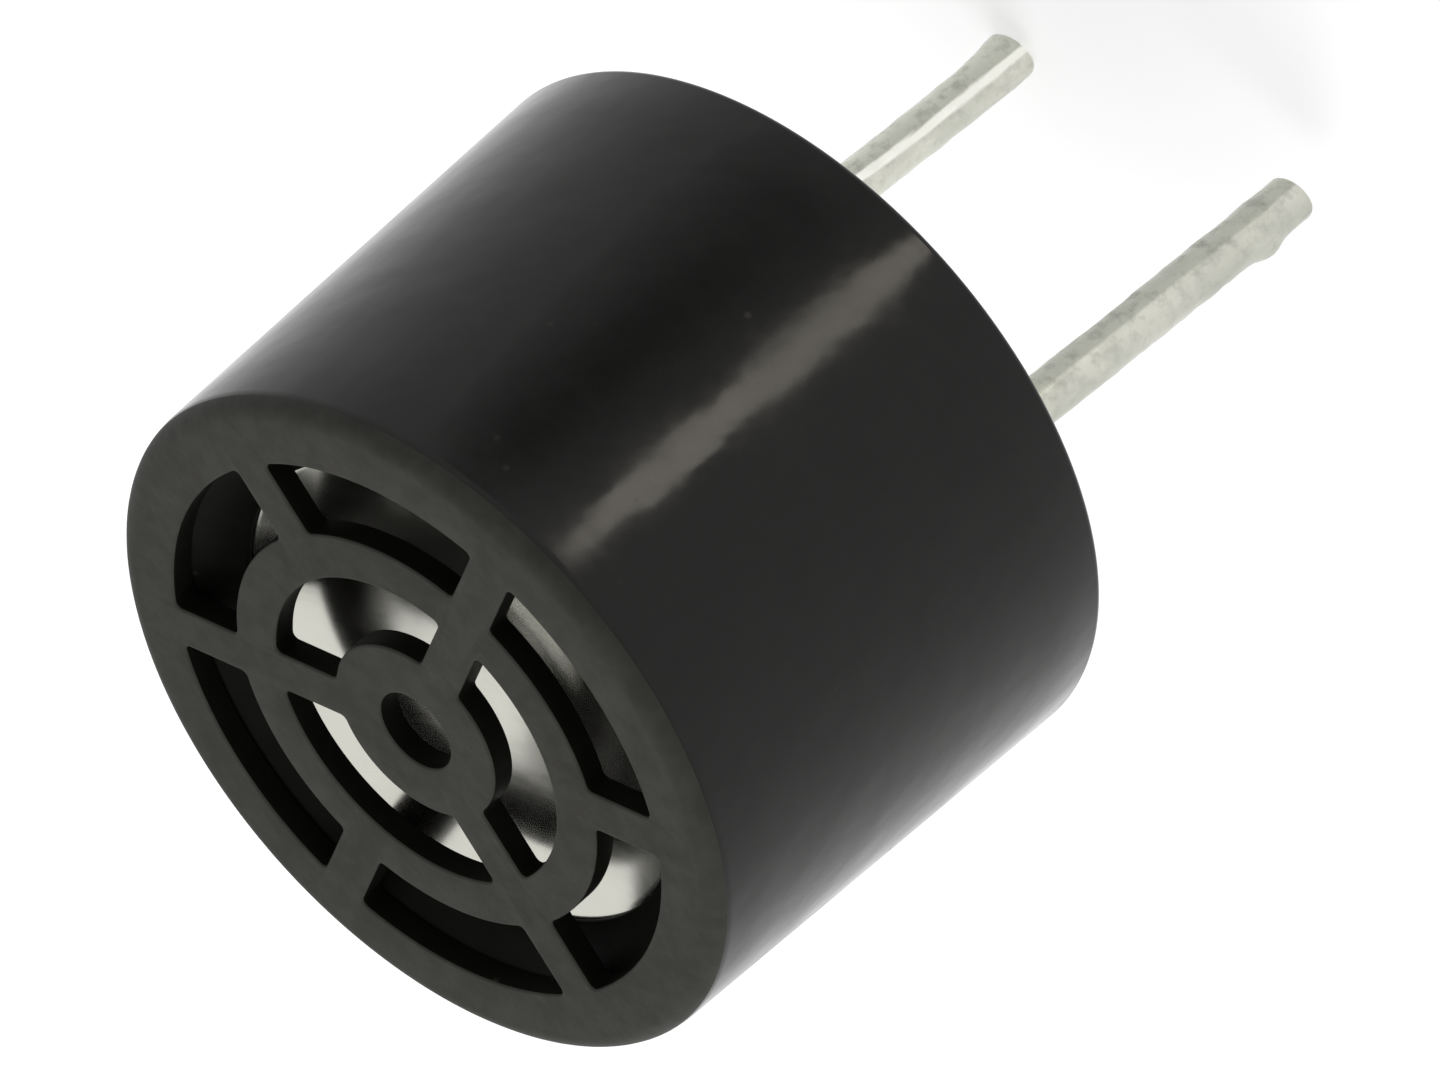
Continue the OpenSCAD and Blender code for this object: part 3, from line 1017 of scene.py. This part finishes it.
class BUZZER_OT_stage(bpy.types.Operator):
    """Set up the surroundings, the floor, the cards, the lamps and the camera"""

    bl_idname = "buzzer.stage"
    bl_label = "Stage"

    def execute(self, context):
        s = context.scene.buzzer_stage
        context.scene.view_settings.view_transform = "Standard"
        self.world(context.scene, s)
        self.floor(s)
        self.cards()
        self.lamps(s)
        self.camera(context.scene, s)
        return {"FINISHED"}

    def world(self, scene, s):
        """White surroundings, plain on matt surfaces."""
        world = bpy.data.worlds.new("Surroundings")
        world.use_nodes = True
        tree = world.node_tree
        level = spread(tree, background_rays(tree), 0.0, 1.0, s.ambient, 1.0)
        shader = tree.nodes["Background"]
        shader.inputs["Color"].default_value = (1, 1, 1, 1)
        tree.links.new(level, shader.inputs["Strength"])
        scene.world = world

    def floor(self, s):
        """A pale floor that the tip of the long lead just touches. It can't be seen from below."""
        select_none()
        bpy.ops.mesh.primitive_circle_add(vertices=96, radius=3.0, fill_type="NGON",
                                          location=(0, 0, cad_bounds[0].z))
        floor = bpy.context.object
        floor.name = "floor"
        made, tree, shader, at = material("Pale floor")
        shader.inputs["Base Color"].default_value = (*s.floor, 1)
        shader.inputs["Roughness"].default_value = 0.9
        shader.inputs["Specular IOR Level"].default_value = 0.1
        level = spread(tree, length_of(tree, at), 0.04, 0.15, s.glow, 1.0 - s.floor[0] * s.ambient)
        glow = add(tree, "Emission", Color=(1, 1, 1, 1), Strength=times(tree, background_rays(tree), level))
        lit = add(tree, "AddShader")
        tree.links.new(shader.outputs[0], lit.inputs[0])
        tree.links.new(glow.outputs[0], lit.inputs[1])
        path = add(tree, "LightPath").outputs
        under = times(tree, add(tree, "NewGeometry").outputs["Backfacing"], path["Is Camera Ray"])
        mixed = add(tree, "MixShader", Fac=under)
        tree.links.new(lit.outputs[0], mixed.inputs[1])
        tree.links.new(add(tree, "BsdfTransparent").outputs[0], mixed.inputs[2])
        tree.links.new(mixed.outputs[0], tree.nodes["Material Output"].inputs["Surface"])
        floor.data.materials.append(made)

    def cards(self):
        """Two dark cards that only gloss sees: one lies in front of the part, one stands behind it."""
        front, front_distance, over_floor = self.towards(-9, 0), 32 * MM, 0.05 * MM
        self.card("low_card", front * front_distance + Vector((0, 0, cad_bounds[0].z + over_floor)),
                  radii=(13 * MM, 20 * MM), facing=Vector((0, 0, 1)), core=0.0, darkest=0.18)
        back, back_distance = self.towards(149, 28.5), 100 * MM
        self.card("high_card", back * back_distance + Vector((0, 0, case_high.z)),
                  radii=(18 * MM, 23 * MM), facing=-back, core=0.6, darkest=0.03)

    def card(self, name, at, radii, facing, core, darkest):
        """An oval card that faces along a direction, darkest in its core and nearly white at its rim."""
        select_none()
        bpy.ops.mesh.primitive_circle_add(vertices=48, radius=1, fill_type="NGON", location=at)
        card = bpy.context.object
        card.name = name
        bpy.ops.object.mode_set(mode="EDIT")
        bpy.ops.transform.resize(value=(*radii, 1), center_override=at)
        leave()
        card.rotation_euler = facing.to_track_quat("Z", "Y").to_euler()
        made, tree, shader, where = material(name)
        shader.inputs["Base Color"].default_value = (0, 0, 0, 1)
        shader.inputs["Specular IOR Level"].default_value = 0.0
        shader.inputs["Emission Color"].default_value = (1, 1, 1, 1)
        oval = add(tree, "Mapping", Vector=where, Scale=(1 / radii[0], 1 / radii[1], 1))
        far = length_of(tree, oval.outputs[0])
        rim = 0.96
        tree.links.new(spread(tree, far, core, 1.0, darkest, rim), shader.inputs["Emission Strength"])
        card.data.materials.append(made)
        card.visible_camera = False
        card.visible_diffuse = False
        card.visible_shadow = False

    def lamps(self, s):
        """A large softbox behind the part, and a low strip whose shine runs along the side."""
        middle = Vector((0, 0, case_high.z / 2))
        key_at = middle + self.towards(205, 50) * s.key_distance
        key = self.lamp("key", key_at, middle, s.key_size, s.key_size, s.key)
        key.visible_glossy = False
        low = Vector((0, 0, s.streak_height))
        strip_at = self.towards(-39.3, 0) * s.streak_distance + low
        shines_on = self.towards(-42.5, 0) * 5.9 * MM + low
        strip = self.lamp("strip", strip_at, shines_on, s.streak_width, s.streak_length, s.streak)
        strip.data.shape = "ELLIPSE"
        strip.data.color = (1.0, 0.93, 0.80)
        strip.visible_diffuse = False
        strip.visible_camera = False

    def towards(self, azimuth, elevation):
        """A direction from the part, named as the views are."""
        a, e = math.radians(azimuth), math.radians(elevation)
        return Vector((math.sin(a) * math.cos(e), -math.cos(a) * math.cos(e), math.sin(e)))

    def lamp(self, name, at, target, width, height, power):
        """A rectangular lamp that faces a point."""
        bpy.ops.object.light_add(type="AREA", location=at)
        lamp = bpy.context.object
        lamp.name = name
        lamp.rotation_euler = (target - at).to_track_quat("-Z", "Y").to_euler()
        lamp.data.shape = "RECTANGLE"
        lamp.data.size, lamp.data.size_y, lamp.data.energy = width, height, power
        return lamp

    def camera(self, scene, s):
        """A long lens from in front of the face, rolled so that the leads point up and to the right."""
        back = self.towards(math.degrees(s.azimuth), math.degrees(s.elevation))
        level = Vector((0, 0, 1)).cross(back).normalized()
        rise = back.cross(level)
        right = math.cos(s.roll) * level + math.sin(s.roll) * rise
        up = math.cos(s.roll) * rise - math.sin(s.roll) * level
        face = Vector((0, 0, case_high.z))
        at = face + back * s.distance
        aim = face + right * s.aim_right + up * s.aim_up
        z = (at - aim).normalized()
        x = up.cross(z).normalized()
        y = z.cross(x)
        bpy.ops.object.camera_add(location=at)
        camera = bpy.context.object
        camera.name = "camera"
        camera.matrix_world = Matrix.Translation(at) @ Matrix((x, y, z)).transposed().to_4x4()
        camera.data.lens = s.lens
        camera.data.clip_start, camera.data.clip_end = 0.01, 10
        scene.camera = camera


class BUZZER_PT_panel(bpy.types.Panel):
    """Lists the buzzer's pieces"""

    bl_idname = "BUZZER_PT_panel"
    bl_label = "Magnetic Buzzer"
    bl_space_type = "VIEW_3D"
    bl_region_type = "UI"
    bl_category = "Buzzer"

    def draw(self, context):
        for step in STEPS:
            self.layout.operator(step.bl_idname)


STEPS = (
    BUZZER_OT_case,
    BUZZER_OT_retainer,
    BUZZER_OT_diaphragm,
    BUZZER_OT_leads,
    BUZZER_OT_resin,
    BUZZER_OT_coil,
    BUZZER_OT_inner_finishes,
    BUZZER_OT_stage,
)
CLASSES = (*GROUPS.values(), *STEPS, BUZZER_PT_panel)


def register():
    """Registers the classes and hangs the settings on the scene."""
    for made in CLASSES:
        bpy.utils.register_class(made)
    for name, kind in GROUPS.items():
        setattr(bpy.types.Scene, name, bpy.props.PointerProperty(type=kind))


def unregister():
    """Takes the settings and the classes away again."""
    for name in GROUPS:
        delattr(bpy.types.Scene, name)
    for made in reversed(CLASSES):
        bpy.utils.unregister_class(made)


def corners(bounds):
    """A box as plain lists of numbers."""
    return [[float(x) for x in corner] for corner in bounds]


def main():
    """Builds every piece in order."""
    register()
    for step in STEPS:
        group_name, action = step.bl_idname.split(".")
        getattr(getattr(bpy.ops, group_name), action)()


if __name__ == "__main__":
    main()
